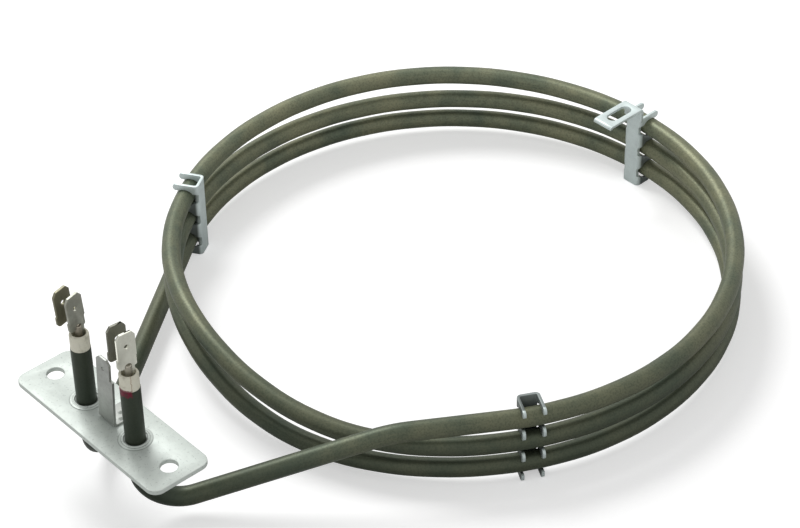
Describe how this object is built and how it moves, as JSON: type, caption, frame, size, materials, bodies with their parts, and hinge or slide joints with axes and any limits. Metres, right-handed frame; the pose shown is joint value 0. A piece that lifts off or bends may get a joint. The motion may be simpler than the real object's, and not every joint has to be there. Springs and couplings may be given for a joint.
{
  "type": "ring heating element",
  "caption": "Ring-shaped tubular heating element of several stacked turns held apart by clips, with two bent legs to a flange with spade terminals.",
  "frame": {"origin": "midway between the flange's two fixing holes, on the flange face that seats against the oven's back panel", "axes": "+X along the flange, +Y from the flange towards the ring, +Z the way the terminals point"},
  "size_m": [0.1934, 0.2519, 0.073],
  "materials": {
    "sheath": "annealed stainless steel with an olive oxide film, satin",
    "insulation": "pressed magnesia powder, matt",
    "heating_wire": "bright resistance wire",
    "flange": "zinc-plated steel with fine scratches",
    "collar": "zinc-plated steel, satin",
    "seal": "unglazed beige ceramic",
    "pin": "darkened steel",
    "terminal": "nickel-plated steel, semi-bright",
    "earth_tab": "zinc-plated steel",
    "clip": "galvanised sheet, satin"
  },
  "bodies": {
    "root": {"sheath": "sheath", "insulation": "insulation", "heating_wire": "heating_wire", "flange": "flange", "collar_a": "collar", "collar_b": "collar", "seal_a": "seal", "seal_b": "seal", "pin_a": "pin", "pin_b": "pin", "terminal_a": "terminal", "terminal_b": "terminal", "earth_tab": "earth_tab", "clip_left": "clip", "clip_front": "clip", "clip_back": "clip"}
  },
  "joints": []
}
